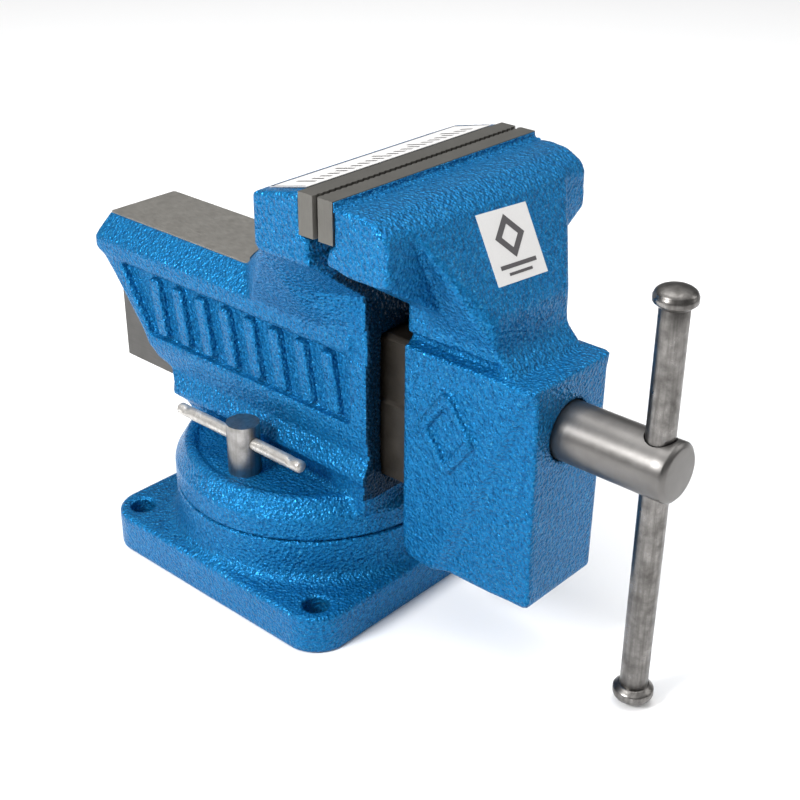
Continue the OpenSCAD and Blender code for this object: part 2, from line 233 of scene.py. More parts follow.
def lathe(name, profile, origin, axis, count=64, warp=None):
    """Solid of revolution: profile is (height, radius) along axis from origin, closed at both ends."""
    axis = Vector(axis).normalized()
    turn = axis.to_track_quat("Z", "Y").to_matrix()
    points, faces = [], []
    for height, radius in profile:
        for k in range(count):
            angle = 2 * math.pi * k / count
            p = Vector((radius * math.cos(angle), radius * math.sin(angle), height))
            if warp:
                p = Vector(warp(p))
            points.append(Vector(origin) + turn @ p)
    for i in range(len(profile) - 1):
        for k in range(count):
            a, b = i * count + k, i * count + (k + 1) % count
            faces.append((a, b, b + count, a + count))
    last = (len(profile) - 1) * count
    faces.append(tuple(reversed(range(count))))
    faces.append(tuple(range(last, last + count)))
    return mesh_piece(name, points, faces)


def prism(name, outline, frame_of, low, high):
    """Solid from a closed outline, run between two heights; frame_of gives a point's place."""
    n = len(outline)
    points = [frame_of(u, v, w) for w in (low, high) for u, v in outline]
    faces = [tuple(reversed(range(n))), tuple(range(n, 2 * n))]
    faces += [(i, (i + 1) % n, n + (i + 1) % n, n + i) for i in range(n)]
    piece = mesh_piece(name, points, faces)
    shape = bmesh.new()
    shape.from_mesh(piece.data)
    bmesh.ops.recalc_face_normals(shape, faces=shape.faces)
    shape.to_mesh(piece.data)
    shape.free()
    return piece


def shade_faces(piece, material, wanted):
    """Give a second material to the faces whose centre, in millimetres, and normal are wanted."""
    piece.data.materials.append(material)
    for face in piece.data.polygons:
        if wanted(face.center / MM, face.normal):
            face.material_index = 1


def finish_piece(piece, body, material, replaces=()):
    """Give a piece its material, its body and the CAD nodes that it stands for."""
    piece.data.materials.clear()
    piece.data.materials.append(material)
    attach(piece, body)
    if replaces:
        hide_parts(*replaces)
    return piece


# ---------------------------------------------------------------- materials

class Shader:
    """A node material with a principled shader and short ways to add texture nodes."""

    def __init__(self, name, **sockets):
        self.material = bpy.data.materials.new(name)
        self.material.use_nodes = True
        self.tree = self.material.node_tree
        self.shader = self.tree.nodes["Principled BSDF"]
        for key, value in sockets.items():
            self.shader.inputs[key.replace("_", " ")].default_value = value
        self.place = self.node("ShaderNodeTexCoord").outputs["Object"]

    def node(self, kind, **values):
        """A new node with some of its properties set."""
        made = self.tree.nodes.new(kind)
        for key, value in values.items():
            setattr(made, key, value)
        return made

    def link(self, source, target):
        """Join an output to a socket, or set the socket to a plain value."""
        if hasattr(source, "is_output"):
            self.tree.links.new(source, target)
        else:
            target.default_value = source

    def stretched(self, scale):
        """Place, scaled by three factors."""
        mapping = self.node("ShaderNodeMapping")
        self.link(self.place, mapping.inputs["Vector"])
        mapping.inputs["Scale"].default_value = scale
        return mapping.outputs["Vector"]

    def noise(self, size, detail=3.0, roughness=0.5, stretch=None, distortion=0.0):
        """Noise whose features are about size millimetres across."""
        made = self.node("ShaderNodeTexNoise")
        self.link(self.stretched(stretch) if stretch else self.place, made.inputs["Vector"])
        made.inputs["Scale"].default_value = 1 / (size * MM)
        made.inputs["Detail"].default_value = detail
        made.inputs["Roughness"].default_value = roughness
        made.inputs["Distortion"].default_value = distortion
        return made.outputs["Fac"]

    def cells(self, size, smoothness):
        """Distance to the middle of smooth cells about size millimetres across."""
        made = self.node("ShaderNodeTexVoronoi", feature="SMOOTH_F1")
        self.link(self.place, made.inputs["Vector"])
        made.inputs["Scale"].default_value = 1 / (size * MM)
        made.inputs["Smoothness"].default_value = smoothness
        return made.outputs["Distance"]

    def along(self, axis, low, high):
        """Zero to one between two places on an axis, in millimetres."""
        split = self.node("ShaderNodeSeparateXYZ")
        self.link(self.place, split.inputs[0])
        made = self.node("ShaderNodeMapRange")
        self.link(split.outputs[axis], made.inputs["Value"])
        made.inputs["From Min"].default_value = low * MM
        made.inputs["From Max"].default_value = high * MM
        return made.outputs["Result"]

    def ramp(self, factor, *stops):
        """Colour ramp; each stop is (position, colour or grey value)."""
        made = self.node("ShaderNodeValToRGB")
        self.link(factor, made.inputs["Fac"])
        elements = made.color_ramp.elements
        while len(elements) < len(stops):
            elements.new(0.5)
        for element, (position, colour) in zip(elements, stops):
            element.position = position
            if not isinstance(colour, tuple):
                colour = (colour, colour, colour)
            element.color = (*colour, 1)
        return made.outputs["Color"]

    def mix(self, factor, a, b):
        """Blend of two colours, from a at zero to b at one."""
        made = self.node("ShaderNodeMix", data_type="RGBA")
        self.link(factor, made.inputs[0])
        for value, socket in ((a, made.inputs[6]), (b, made.inputs[7])):
            if isinstance(value, tuple):
                value = (*value, 1)
            self.link(value, socket)
        return made.outputs[2]

    def math(self, operation, a, b=0.0):
        made = self.node("ShaderNodeMath", operation=operation)
        self.link(a, made.inputs[0])
        self.link(b, made.inputs[1])
        return made.outputs[0]

    def bump(self, height, depth, normal=None, strength=1.0):
        """Bump of that many millimetres."""
        made = self.node("ShaderNodeBump")
        made.inputs["Strength"].default_value = strength
        made.inputs["Distance"].default_value = depth * MM
        self.link(height, made.inputs["Height"])
        if normal is not None:
            self.link(normal, made.inputs["Normal"])
        return made.outputs["Normal"]

    def output(self, **links):
        """Feed the shader's sockets and give the finished material."""
        for key, source in links.items():
            self.link(source, self.shader.inputs[key.replace("_", " ")])
        return self.material


def hammered_paint(name="hammered_blue", shade=1.0):
    """Glossy blue hammer finish: small dimples; paler flecks, partly flake colour and partly painted glints;
    darker colour in the lumps' hollows as painted shade; faint cloudiness. Every colour is scaled by shade,
    so a shade below one gives a darker copy as painted shade.
    """
    s = Shader(name, Metallic=0.5, IOR=1.45, Specular_IOR_Level=0.15)
    dimples = s.cells(1.3, 0.4)
    lumps = s.noise(1.7, 2.0, 0.55, distortion=0.4)
    grain = s.noise(0.7, 2.0, 0.6)
    clouds = s.noise(24, 3.0)
    # Paler cyan flecks: partly the flakes' own colour and partly painted glints.
    flecks_and_glints = s.ramp(s.noise(0.9, 1.0, 0.5, distortion=0.8), (0.60, 0.0), (0.74, 1.0))

    def tone(*colour):
        return tuple(shade * c for c in colour)

    base = s.mix(clouds, tone(0.004, 0.132, 0.330), tone(0.007, 0.155, 0.375))
    # Darker where the lumps' bump is low: painted shade in the hollows of the hammer texture.
    hollow_shaded = s.mix(s.ramp(lumps, (0.36, 0.55), (0.56, 0.0)), base, tone(0.000, 0.050, 0.160))
    colour = s.mix(s.math("MULTIPLY", flecks_and_glints, 0.4), hollow_shaded, tone(0.080, 0.420, 0.650))
    rough = s.ramp(grain, (0.3, 0.22), (0.7, 0.38))
    dents = s.bump(dimples, 0.6)
    waves = s.bump(lumps, 0.6, dents)
    normal = s.bump(grain, 0.06, waves, strength=0.7)
    return s.output(Base_Color=colour, Roughness=rough, Normal=normal)


def ground_steel(name, colour, dark, stretch, grit=0.35, depth=0.012, rough=(0.3, 0.48), oil_and_shade=None):
    """Ground or milled steel, with its marks drawn out along the axis whose stretch is small.

    Where a span is given, it is dark and brown up to the first place along Y and clean past the second: oil,
    and painted shade on the part that sits in the gap between the jaws.
    """
    s = Shader(name, Metallic=0.6)
    marks = s.noise(grit, 4.0, 0.65, stretch)
    stain = s.noise(9, 4.0, 0.6)
    tint = s.mix(stain, dark, colour)
    shade = s.mix(s.ramp(marks, (0.35, 0.0), (0.65, 1.0)), tuple(0.62 * c for c in dark), tint)
    roughness = s.ramp(marks, (0.3, rough[0]), (0.7, rough[1]))
    colour = s.mix(0.65, shade, tint)
    if oil_and_shade:
        # Dark brown towards the front: oil and painted shade.
        colour = s.mix(s.along(1, *oil_and_shade), s.mix(stain, (0.012, 0.010, 0.008), (0.035, 0.028, 0.020)), colour)
    return s.output(Base_Color=colour, Roughness=roughness, Normal=s.bump(marks, depth))


def plated_steel(name, colour=(0.24, 0.23, 0.22), dark=(0.09, 0.085, 0.08), rough=0.24, metal=1.0):
    """Zinc plated round bar: bright, with faint stains and handling scratches."""
    s = Shader(name, Metallic=metal)
    stain = s.noise(6, 5.0, 0.62)
    scuffs = s.noise(0.5, 3.0, 0.6, (1, 1, 0.12))
    streaks = s.ramp(s.noise(1.6, 3.0, 0.6, (1, 1, 0.05)), (0.42, 0.0), (0.68, 0.7))
    tint = s.mix(s.ramp(stain, (0.35, 0.0), (0.72, 1.0)), colour, dark)
    tint = s.mix(streaks, tint, dark)
    return s.output(Base_Color=tint,
                    Roughness=s.ramp(stain, (0.3, rough), (0.75, rough + 0.2)),
                    Normal=s.bump(scuffs, 0.01))


def turned_steel(name):
    """Turned shaft along Y: fine rings of the tool's feed."""
    s = Shader(name, Metallic=0.95)
    feed = s.noise(0.35, 2.0, 0.6, (0.02, 1, 0.02))
    stain = s.noise(7, 4.0)
    tint = s.mix(stain, (0.13, 0.125, 0.12), (0.20, 0.193, 0.186))
    shade = s.mix(s.ramp(feed, (0.3, 0.0), (0.7, 1.0)), (0.10, 0.095, 0.088), tint)
    return s.output(Base_Color=s.mix(0.85, shade, tint), Roughness=s.ramp(feed, (0.3, 0.30), (0.7, 0.44)),
                    Normal=s.bump(feed, 0.006))


def dark_steel(name, colour=(0.028, 0.027, 0.026)):
    """Oxidised or plain machined steel with faint stains."""
    s = Shader(name, Metallic=0.7)
    stain = s.noise(3, 4.0)
    return s.output(Base_Color=s.mix(stain, colour, tuple(2.2 * c for c in colour)),
                    Roughness=s.ramp(stain, (0.3, 0.35), (0.7, 0.55)), Normal=s.bump(stain, 0.02))


def label_paper():
    """White paper with a faint tooth."""
    s = Shader("label_paper", Coat_Weight=0.12, Coat_Roughness=0.3)
    tooth = s.noise(0.6, 2.0)
    return s.output(Base_Color=s.mix(tooth, (0.60, 0.59, 0.58), (0.66, 0.655, 0.65)),
                    Roughness=s.ramp(tooth, (0.3, 0.5), (0.7, 0.62)), Normal=s.bump(tooth, 0.006))


def label_ink():
    """Dark printing ink."""
    s = Shader("label_ink")
    tooth = s.noise(0.5, 2.0)
    return s.output(Base_Color=s.mix(tooth, (0.035, 0.032, 0.034), (0.07, 0.065, 0.07)),
                    Roughness=s.ramp(tooth, (0.3, 0.45), (0.7, 0.6)))


PAINT = hammered_paint()
# A copy of the paint at 0.22 of its brightness: painted shade for faces that sit in the gaps and the tunnel.
PAINTED_SHADE_BLUE = hammered_paint("hammered_blue_painted_shade", 0.22)
PLATE = ground_steel("ground_plate", (0.155, 0.15, 0.137), (0.10, 0.096, 0.086), (1, 1, 0.06))
ANVIL = ground_steel("ground_anvil", (0.30, 0.288, 0.265), (0.19, 0.18, 0.162), (0.5, 0.12, 1), grit=0.5)
# The slide's front part, seen in the jaw gap, is dark brown: oil and painted shade.
SLIDE = ground_steel("milled_slide", (0.115, 0.112, 0.107), (0.055, 0.052, 0.048), (1, 0.05, 1),
                     grit=0.9, depth=0.06, oil_and_shade=(-45, 30))
TURNED = turned_steel("turned_shaft")
PLATED = plated_steel("zinc_plated")
# A lighter, less metallic copy of the zinc plating for the lock bars: painted light that stands for the light
# reaching their undersides.
LIT_ZINC = plated_steel("bright_rod_painted_light", (0.58, 0.56, 0.53), (0.33, 0.315, 0.295), 0.22, 0.55)
LOCK = plated_steel("turned_nut", (0.36, 0.35, 0.34), (0.17, 0.163, 0.155), 0.28)
DARK = dark_steel("black_oxide")
NUT_IRON = dark_steel("machined_iron", (0.07, 0.065, 0.06))
PAPER = label_paper()
INK = label_ink()


# ---------------------------------------------------------------- sizes read from the frame

base_high = corners("swivel_base")[1]
body_high = corners("fixed_body")[1]
move_low, move_high = corners("movable_jaw")
plate_low, plate_high = corners("fixed_jaw_plate")
shaft_low, shaft_high = corners("spindle")

HALF_BASE = base_high.x
BOSS_TOP = base_high.z
TURRET_R = body_high.x
ANVIL_END = body_high.y
JAW_HALF = plate_high.x
JAW_TOP = plate_high.z
SEAT_Z = plate_low.z
SEAT_FIXED = plate_high.y
SEAT_MOVING = corners("movable_jaw_plate")[0].y
BOX_FRONT = move_low.y
SLIDE_END = move_high.y
SHAFT_Z = (shaft_low.z + shaft_high.z) / 2

# ---------------------------------------------------------------- sizes that the frame's boxes don't give

# Base: plate, bolt holes, cavity, bore of the pivot, and the round T-slot with its entry
PLATE_T = 17.7
PLATE_CORNER = 16
BOLT_REACH = 56
BOLT_HOLE_R = 5.5
CAVITY_R = 54
CAVITY_TOP = 9.5
PIVOT_BORE_R = 20.06
SLOT_R = 42
SLOT_NECK_HALF = 4.4
SLOT_HALF = 9
SLOT_LOW = 17
SLOT_TOP = 24.8
SLOT_ENTRY_R = 10.5

# Fixed body: turret, flanks, anvil, neck, head, and the tunnel for the slide
TURRET_Z = BOSS_TOP + 0.3
DECK_Z = 53.0
RIM_Z = 55.3
RIM_R = 55.3
FRONT_Y = -58.5
PANEL_X = 25.0
RIB_COUNT = 8
RIB_PITCH = 15.4
ANVIL_Z = 136.0
ANVIL_HALF = 18.8
NECK_HALF = 27.4
HEAD_REAR = -25.3
HEAD_LOW = 167.0
HEAD_BOW_R = 415.0
CREST_Z = 188.6
PIVOT_R = 20
LOCK_BOLT_R = 4.3
NUT_BOLT_Y = -33
TUNNEL_HALF = 19.3
TUNNEL_LOW = 64.2
TUNNEL_TOP = 127.8

# Movable jaw: box with its facets, neck, prow, channel and slide
BOX_HALF = 24.8
BOX_LOW = 34.5
BOX_TOP = 130.5
BOX_REAR = -74.3
CREASE_Y = -132.5
CREASE_Z = 128.7
CREASE_TURN = (0.913, 0.409)
FACET_STEP = 2.6
FACET_SLOPE = 0.035
NECK_WALL = 21.5
WING_Z = 169
PROW_Y = -96.3
PROW_TOP = 186
PROW_NOSE_Y = -117
PROW_NOSE_Z = 150
CHANNEL_FRONT = -112.6
CHANNEL_LOW = 46
CHANNEL_TOP = 121
SLIDE_LOW = 64.5
SLIDE_TOP = 127.5

# Spindle
CORE_R = 10.0
SHOULDER_Y = -124.6
THREAD_FROM = -96.0
THREAD_PITCH = 4.0
THREAD_DEPTH = 2.2
BORE_GAP = 0.45

# Height of the ink over the middle of a label
LABEL_T = 0.29


def mirrored(points):
    """The points on both sides of the middle plane."""
    return [(x * k, y, z) for k in (-1, 1) for x, y, z in points]


# ---------------------------------------------------------------- swivel base

def swivel_base():
    """Square plate under a round boss, hollow below and slotted above."""
    s = Space((-70, -70, -2), (70, 70, BOSS_TOP + 2), VOXEL)
    flat = np.hypot(np.maximum(s.side - HALF_BASE + PLATE_CORNER, 0),
                    np.maximum(np.abs(s.y) - HALF_BASE + PLATE_CORNER, 0)) - PLATE_CORNER
    plate = extrude(flat, s.z, 0, PLATE_T, 1.4)
    boss = s.revolve(rounded([
        (-20, 2, 0), (TURRET_R, 2, 0), (TURRET_R, BOSS_TOP, 1.2), (-20, BOSS_TOP, 0)], 1))
    solid = np.maximum(join(plate, boss, 7), np.maximum(flat, -s.z))
    for x in (-BOLT_REACH, BOLT_REACH):
        for y in (-BOLT_REACH, BOLT_REACH):
            hole = np.hypot(s.x - x, s.y - y) - BOLT_HOLE_R
            solid = carve(solid, np.broadcast_to(hole, solid.shape), 1.0)

    def ring(inner, outer, low, high):
        return s.revolve([(inner, low), (outer, low), (outer, high), (inner, high)])

    solid = carve(solid, ring(-20, CAVITY_R, -5, CAVITY_TOP), 1.5)
    solid = carve(solid, ring(-20, PIVOT_BORE_R, -5, 60))
    solid = carve(solid, ring(SLOT_R - SLOT_NECK_HALF, SLOT_R + SLOT_NECK_HALF, SLOT_LOW + 3, 60))
    solid = carve(solid, ring(SLOT_R - SLOT_HALF, SLOT_R + SLOT_HALF, SLOT_LOW, SLOT_TOP))
    solid = carve(solid, s.rod(2, (0, SLOT_R), SLOT_ENTRY_R, SLOT_LOW, 60))
    return skin("swivel_base_casting", s, solid)


# ---------------------------------------------------------------- fixed body

def turret(s):
    """Round foot of the body: straight wall, sloping shoulder and a raised rim round the deck."""
    outline = rounded([
        (-20, TURRET_Z, 0), (TURRET_R - 1, TURRET_Z, 0), (TURRET_R, TURRET_Z + 1, 0), (TURRET_R, 46.6, 1.2),
        (RIM_R + 2, RIM_Z - 0.4, 3.5), (RIM_R - 1.6, RIM_Z - 0.5, 1.5), (RIM_R - 3.6, DECK_Z, 1.5),
        (-20, DECK_Z, 0)], 0)
    return s.revolve(outline)


def body_side_outline():
    """The body seen from its flank, along Y and Z."""
    return rounded([
        (FRONT_Y, 45, 0), (48, 45, 0), (52, 53, 4), (57, 59.5, 4), (61.4, 63.5, 4), (61.6, 67.5, 4),
        (66, 74.2, 5), (73.5, 76.6, 5), (78.5, 81.2, 4), (82, 88, 3), (101, 112, 4), (107.5, 119, 4),
        (ANVIL_END, 121, 3), (ANVIL_END, ANVIL_Z, 0), (FRONT_Y, ANVIL_Z, 0)], 3)


def body_section_outline():
    """Half of the body's cross section, in distance from the middle plane and Z."""
    top = ANVIL_Z - 0.15
    return rounded([
        (0, 45), (25, 45), (25, 54), (26.2, 60), (30.2, 64, 0.6), (30.0, 66.4, 0.6), (26.8, 74, 2),
        (28.3, 83, 0), (28.3, 118.6, 0), (29.0, 120, 0.5), (29.0, 126.6, 0.8), (27.0, 129, 0.5),
        (ANVIL_HALF, top, 0.3), (0, top)], 0)


def side_panels(s):
    """Sunk panels on the flanks and the raised ribs in them."""
    panel = outline_distance(s.y, s.z, rounded([(-49, 87.2), (76, 87.2), (95, 118.2), (-49, 118.2)], 2))
    sunk = extrude(panel, s.side, PANEL_X, 40, 0)
    ribs = None
    for i in range(RIB_COUNT):
        foot = -43.5 + RIB_PITCH * i
        outline = rounded([(foot, 89.6), (foot + 6.6, 89.6), (foot + 11, 115.8), (foot + 4.4, 115.8)], 1)
        rib = extrude(outline_distance(s.y, s.z, outline), s.side, 20, 28.2, 0.9)
        ribs = rib if ribs is None else np.minimum(ribs, rib)
    return sunk, ribs


def fixed_head(s):
    """Jaw head of the fixed side: its back is bowed and its top slopes down from the plate."""
    front = FRONT_Y + 0.9
    outline = rounded([
        (front, 166.7, 1.5), (-33, 166, 3), (HEAD_REAR - 0.6, 169, 3), (HEAD_REAR, 185.2, 2.5),
        (HEAD_REAR - 4.2, CREST_Z, 3), (SEAT_FIXED, JAW_TOP - 0.4, 0.4), (SEAT_FIXED, SEAT_Z - 0.4, 0),
        (front, SEAT_Z - 1.2, 0.8)], 2)
    head = extrude(outline_distance(s.y, s.z, outline), s.x, -JAW_HALF, JAW_HALF, 1.4)
    bow = np.hypot(s.x, s.y - (HEAD_REAR - HEAD_BOW_R)) - HEAD_BOW_R
    return meet(head, bow, 2)


def fixed_neck(s):
    """Casting between the body and the head: its flanks flare to the head and run down to the anvil."""
    flange, rear_y = JAW_HALF - 0.3, -31.5
    heights = s.z[0, 0, :]
    at_front = np.interp(heights, (121, 146, HEAD_LOW), (NECK_HALF, NECK_HALF + 0.8, flange))[None, None, :]
    at_rear = np.interp(heights, (124, HEAD_LOW), (NECK_HALF, flange))[None, None, :]
    blend = np.clip((s.y - FRONT_Y) / (rear_y - FRONT_Y), 0, 1)
    flank = (s.side - at_front * (1 - blend) - at_rear * blend) * 0.75
    run = 19.0 - rear_y
    plan = (s.side - flange + (s.y - rear_y) * (flange - ANVIL_HALF - 0.6) / run) * 0.8
    ramp = (s.z - HEAD_LOW + (s.y - rear_y) * (HEAD_LOW - ANVIL_Z + 0.4) / run) * 0.85
    solid = meet(flank, np.maximum(FRONT_Y - s.y, 118 - s.z), 1.2)
    return meet(meet(solid, plan, 1.2), np.maximum(ramp, s.z - 170), 1.2)


def fixed_body():
    s = Space((-65, -65, 11), (65, ANVIL_END + 2.5, JAW_TOP + 2), VOXEL)
    section = outline_distance(s.side, s.z, body_section_outline())
    side = outline_distance(s.y, s.z, body_side_outline())
    body = meet(np.broadcast_to(section, np.broadcast_shapes(section.shape, side.shape)), side, 1.6)
    sunk, ribs = side_panels(s)
    body = carve(body, sunk, 0.8)
    body = np.minimum(body, meet(ribs, side + 2))
    foot = s.hull(mirrored([
        (25, -17, 48), (25, -17, 56), (30.2, FRONT_Y + 0.5, 48), (29.6, FRONT_Y + 0.5, 66),
        (26, FRONT_Y + 0.5, 68)]), 1)
    body = join(body, foot, 3)
    corner = s.box((-60, FRONT_Y - 5, 117), (60, -50.5, 152))
    body = carve(body, np.maximum(corner, NECK_HALF - s.side), 0.6)
    solid = join(body, fixed_neck(s), 1.4)
    solid = join(solid, fixed_head(s), 1.0)
    solid = join(solid, turret(s), 2.2)
    solid = join(solid, s.rod(2, (0, 0), PIVOT_R, 13, 52, 0.8))
    tunnel = s.box((-TUNNEL_HALF, -80, TUNNEL_LOW), (TUNNEL_HALF, 140, TUNNEL_TOP))
    solid = carve(solid, tunnel, 0.8)
    for x in (-SLOT_R, SLOT_R):
        solid = carve(solid, s.rod(2, (x, 0), LOCK_BOLT_R, 30, 60))
    solid = carve(solid, s.rod(2, (0, NUT_BOLT_Y), 8.5, 10, 47.6))
    solid = carve(solid, s.rod(2, (0, NUT_BOLT_Y), 5.3, 10, 70))
    return skin("fixed_body_casting", s, solid)


def anvil_face():
    """The ground top of the anvil, a hair proud of the casting."""
    edge = ANVIL_HALF + 0.1
    outline = [(-edge, ANVIL_END - 1.2), (-edge + 1, ANVIL_END - 0.2), (edge - 1, ANVIL_END - 0.2),
               (edge, ANVIL_END - 1.2), (edge, 18.3), (edge - 1.5, 18.6)]
    outline += [(x, 27.5 - 8.5 * (abs(x) / edge) ** 1.6) for x in (14, 9, 4, 0, -4, -9, -14)]
    outline += [(-edge + 1.5, 18.6), (-edge, 18.3)]
    piece = prism("anvil_face", outline, lambda u, v, w: (u, v, w), ANVIL_Z - 2.5, ANVIL_Z)
    return soften(piece, 0.12, 1)


# ---------------------------------------------------------------- movable jaw

def movable_head(s):
    """Jaw head, the wings that flare up to it, the sloping prow in front and the neck below."""
    outline = rounded([
        (-66.2, 169.8, 2), (-68, 176.5, 1), (SEAT_MOVING, SEAT_Z - 0.4, 0), (SEAT_MOVING, 191.6, 0),
        (-79, 192.3, 12), (-87, 191.6, 12), (-94.5, 187.5, 5), (PROW_Y, 183.5, 3), (PROW_Y, 169.5, 2.5),
        (-91, 167.8, 4), (-78, 167.9, 8)], 1)
    head = extrude(outline_distance(s.y, s.z, outline), s.x, -JAW_HALF + 0.3, JAW_HALF - 0.3, 1.1)
    wing = [(0, 128), (NECK_WALL, 128), (NECK_WALL, 146), (JAW_HALF - 0.5, WING_Z), (JAW_HALF - 0.5, 176),
            (0, 176)]
    wings = extrude(outline_distance(s.side, s.z, wing), s.y, PROW_Y, BOX_REAR, 1.0)
    prow = s.hull(mirrored([
        (45, -96, 186.5), (45, -86, 186.5), (NECK_WALL, -116.5, 151), (NECK_WALL, -116.5, 139),
        (NECK_WALL, -86, 139)]), 1.3)
    neck = s.box((-NECK_WALL, -114, 126), (NECK_WALL, BOX_REAR, 152), 2)
    upper = join(join(head, wings, 1.2), prow, 1.6)
    return join(upper, neck, 2)


def movable_box(s):
    """Box below the head; a facet on each flank tapers it towards the front and the top."""
    box = s.box((-BOX_HALF, BOX_FRONT, BOX_LOW), (BOX_HALF, BOX_REAR, BOX_TOP), 1.0)
    below = -CREASE_TURN[0] * (s.y - CREASE_Y) - CREASE_TURN[1] * (s.z - CREASE_Z)
    inward = np.clip(0.6 * below, 0, FACET_STEP) + FACET_SLOPE * np.maximum(below, 0)
    box = meet(box, (s.side - BOX_HALF + inward) * 0.9, 0.5)
    low_edge = outline_distance(s.y, s.z, rounded([
        (BOX_FRONT, BOX_LOW, 4), (BOX_REAR, BOX_LOW, 11), (BOX_REAR, 140, 0), (BOX_FRONT, 140, 0)], 3))
    return meet(box, low_edge, 1.5)


def movable_casting():
    s = Space((-60, BOX_FRONT - 3, 32), (60, -62, JAW_TOP + 2), VOXEL)
    solid = join(movable_box(s), movable_head(s), 0.5)
    sweep = s.hull(mirrored([
        (21.2, -126, BOX_TOP - 2), (21.2, -113, 148), (21.2, -100, 148), (21.2, -100, BOX_TOP - 2)]), 2)
    scoop = s.rod(0, (-128.5, 144.5), 12.5, -70, 70)
    solid = join(solid, carve(sweep, scoop, 1), 1.5)
    for side in (-1, 1):
        groove = s.hull([(side * x, y, z) for y in (BOX_REAR + 2, -118) for x, z in (
            (24, 131.2), (24, 134.8), (19.2, 131.2), (19.2, 134.2))], 1.2)
        solid = carve(solid, groove, 1.2)
    mark = outline_distance(s.y, s.z, rounded([(-97, 84), (-85.5, 100), (-97, 116), (-108.5, 100)], 1.5))
    ring = extrude(np.abs(mark) - 2.2, s.side, 20, 26.8, 0.6)
    solid = np.minimum(solid, ring)
    solid = carve(solid, s.box((-13, CHANNEL_FRONT, CHANNEL_LOW), (13, -60, CHANNEL_TOP)), 0.8)
    solid = carve(solid, s.box((-16, CHANNEL_FRONT, CHANNEL_LOW), (16, -82, CHANNEL_TOP)), 0.8)
    solid = carve(solid, s.rod(1, (0, SHAFT_Z), CORE_R + 0.1, -140, -100))
    solid = carve(solid, s.rod(1, (0, SHAFT_Z), 12.3, -140, -122.6), 0.9)
    return skin("movable_jaw_casting", s, solid)


def seat_lip():
    """Painted edge of the head's top where it rises behind the movable plate."""
    y = SEAT_MOVING
    top = JAW_TOP
    outline = [(y + 0.05, 190.5), (y + 0.05, top - 0.25), (y - 0.35, top - 0.25), (y - 0.55, 192.9),
               (y - 0.9, 192.3), (y - 1.5, 192.05), (y - 2.2, 192.2), (y - 2.9, 192.25), (y - 3.6, 191.6),
               (y - 3.6, 190.5)]
    piece = prism("movable_seat_lip", outline, lambda u, v, w: (w, u, v), -JAW_HALF + 0.4, JAW_HALF - 0.4)
    return soften(piece, 0.15, 1)


def slide():
    """Hollow milled slide, open below."""
    inner, outer, upper = 13, 19.0, 17.8
    half = [(inner, CHANNEL_TOP), (inner, SLIDE_LOW), (outer, SLIDE_LOW), (outer, 98), (upper, 99.2),
            (upper, SLIDE_TOP - 2), (upper - 2, SLIDE_TOP)]
    ring = half + [(-u, v) for u, v in reversed(half)]
    piece = prism("slide", ring, lambda u, v, w: (u, w, v), BOX_REAR - 3, SLIDE_END)
    return soften(piece, 0.5, 2)


# ---------------------------------------------------------------- spindle and handle

def spindle_head():
    """Turned head with the handle's cross bore, and the plain journal behind it."""
    r = (shaft_high.x - shaft_low.x) / 2
    front = shaft_low.y
    edge, chamfer, parts = 1.8, 0.4, 12
    run = SHOULDER_Y - 2 * chamfer - front
    rows = [(front, r - 2.6), (front + 0.15, r - 1.7), (front + 1.3, r - 0.25), (front + edge, r)]
    rows += [(front + edge + run * i / parts, r) for i in range(1, parts)]
    rows += [(SHOULDER_Y - chamfer, r), (SHOULDER_Y, r - chamfer), (SHOULDER_Y, CORE_R),
             (THREAD_FROM, CORE_R)]
    profile = [(y - front, radius) for y, radius in rows]
    piece = lathe("spindle_head", profile, (0, front, SHAFT_Z), (0, 1, 0), 96)
    bar_low, bar_high = corners("handle_bar")
    centre = (bar_low + bar_high) / 2
    bore = (bar_high.x - bar_low.x) / 2 + BORE_GAP
    reach = 2 * r
    cutter = lathe("bore_cutter", [(0, bore), (reach, bore), (2 * reach, bore)],
                   (centre.x, centre.y, SHAFT_Z - reach), (0, 0, 1), 64)
    cut = piece.modifiers.new("bore", "BOOLEAN")
    cut.operation, cut.solver, cut.object = "DIFFERENCE", "EXACT", cutter
    bpy.context.view_layer.update()
    seen = piece.evaluated_get(bpy.context.evaluated_depsgraph_get())
    piece.data = bpy.data.meshes.new_from_object(seen)
    piece.modifiers.clear()
    bpy.data.objects.remove(cutter)
    piece.data.set_sharp_from_angle(angle=SHARP)
    return piece


def spindle_thread():
    """Helical trapezoidal thread; it fades out towards both ends."""
    ring, row_step = 96, 0.5
    groove_half, flank = 0.18, 0.09
    faces, points = [], []
    thread_to = shaft_high.y
    steps = int((thread_to - THREAD_FROM) / row_step)
    rows = [(THREAD_FROM - 0.5, CORE_R - 0.05, False)]
    rows += [(THREAD_FROM + (thread_to - THREAD_FROM) * i / steps, CORE_R, True) for i in range(steps + 1)]
    rows.append((thread_to, CORE_R - 2, False))
    for y, r, threaded in rows:
        for k in range(ring):
            angle = 2 * math.pi * k / ring
            radius = r
            if threaded:
                phase = ((y - THREAD_FROM) / THREAD_PITCH - k / ring) % 1.0
                crest = min(max((abs(phase - 0.5) - groove_half) / flank, 0), 1)
                fade = min(1, (y - THREAD_FROM) / 6, (thread_to - y) / 1.5 + 0.15)
                radius = r - THREAD_DEPTH * (1 - crest) * max(fade, 0)
            points.append((radius * math.cos(angle), y, SHAFT_Z + radius * math.sin(angle)))
    for i in range(len(rows) - 1):
        for k in range(ring):
            a, b = i * ring + k, i * ring + (k + 1) % ring
            faces.append((a, a + ring, b + ring, b))
    faces.append(tuple(range(ring)))
    last = (len(rows) - 1) * ring
    faces.append(tuple(reversed(range(last, last + ring))))
    piece = mesh_piece("spindle_thread", points, faces)
    piece.data.set_sharp_from_angle(angle=SHARP)
    return piece


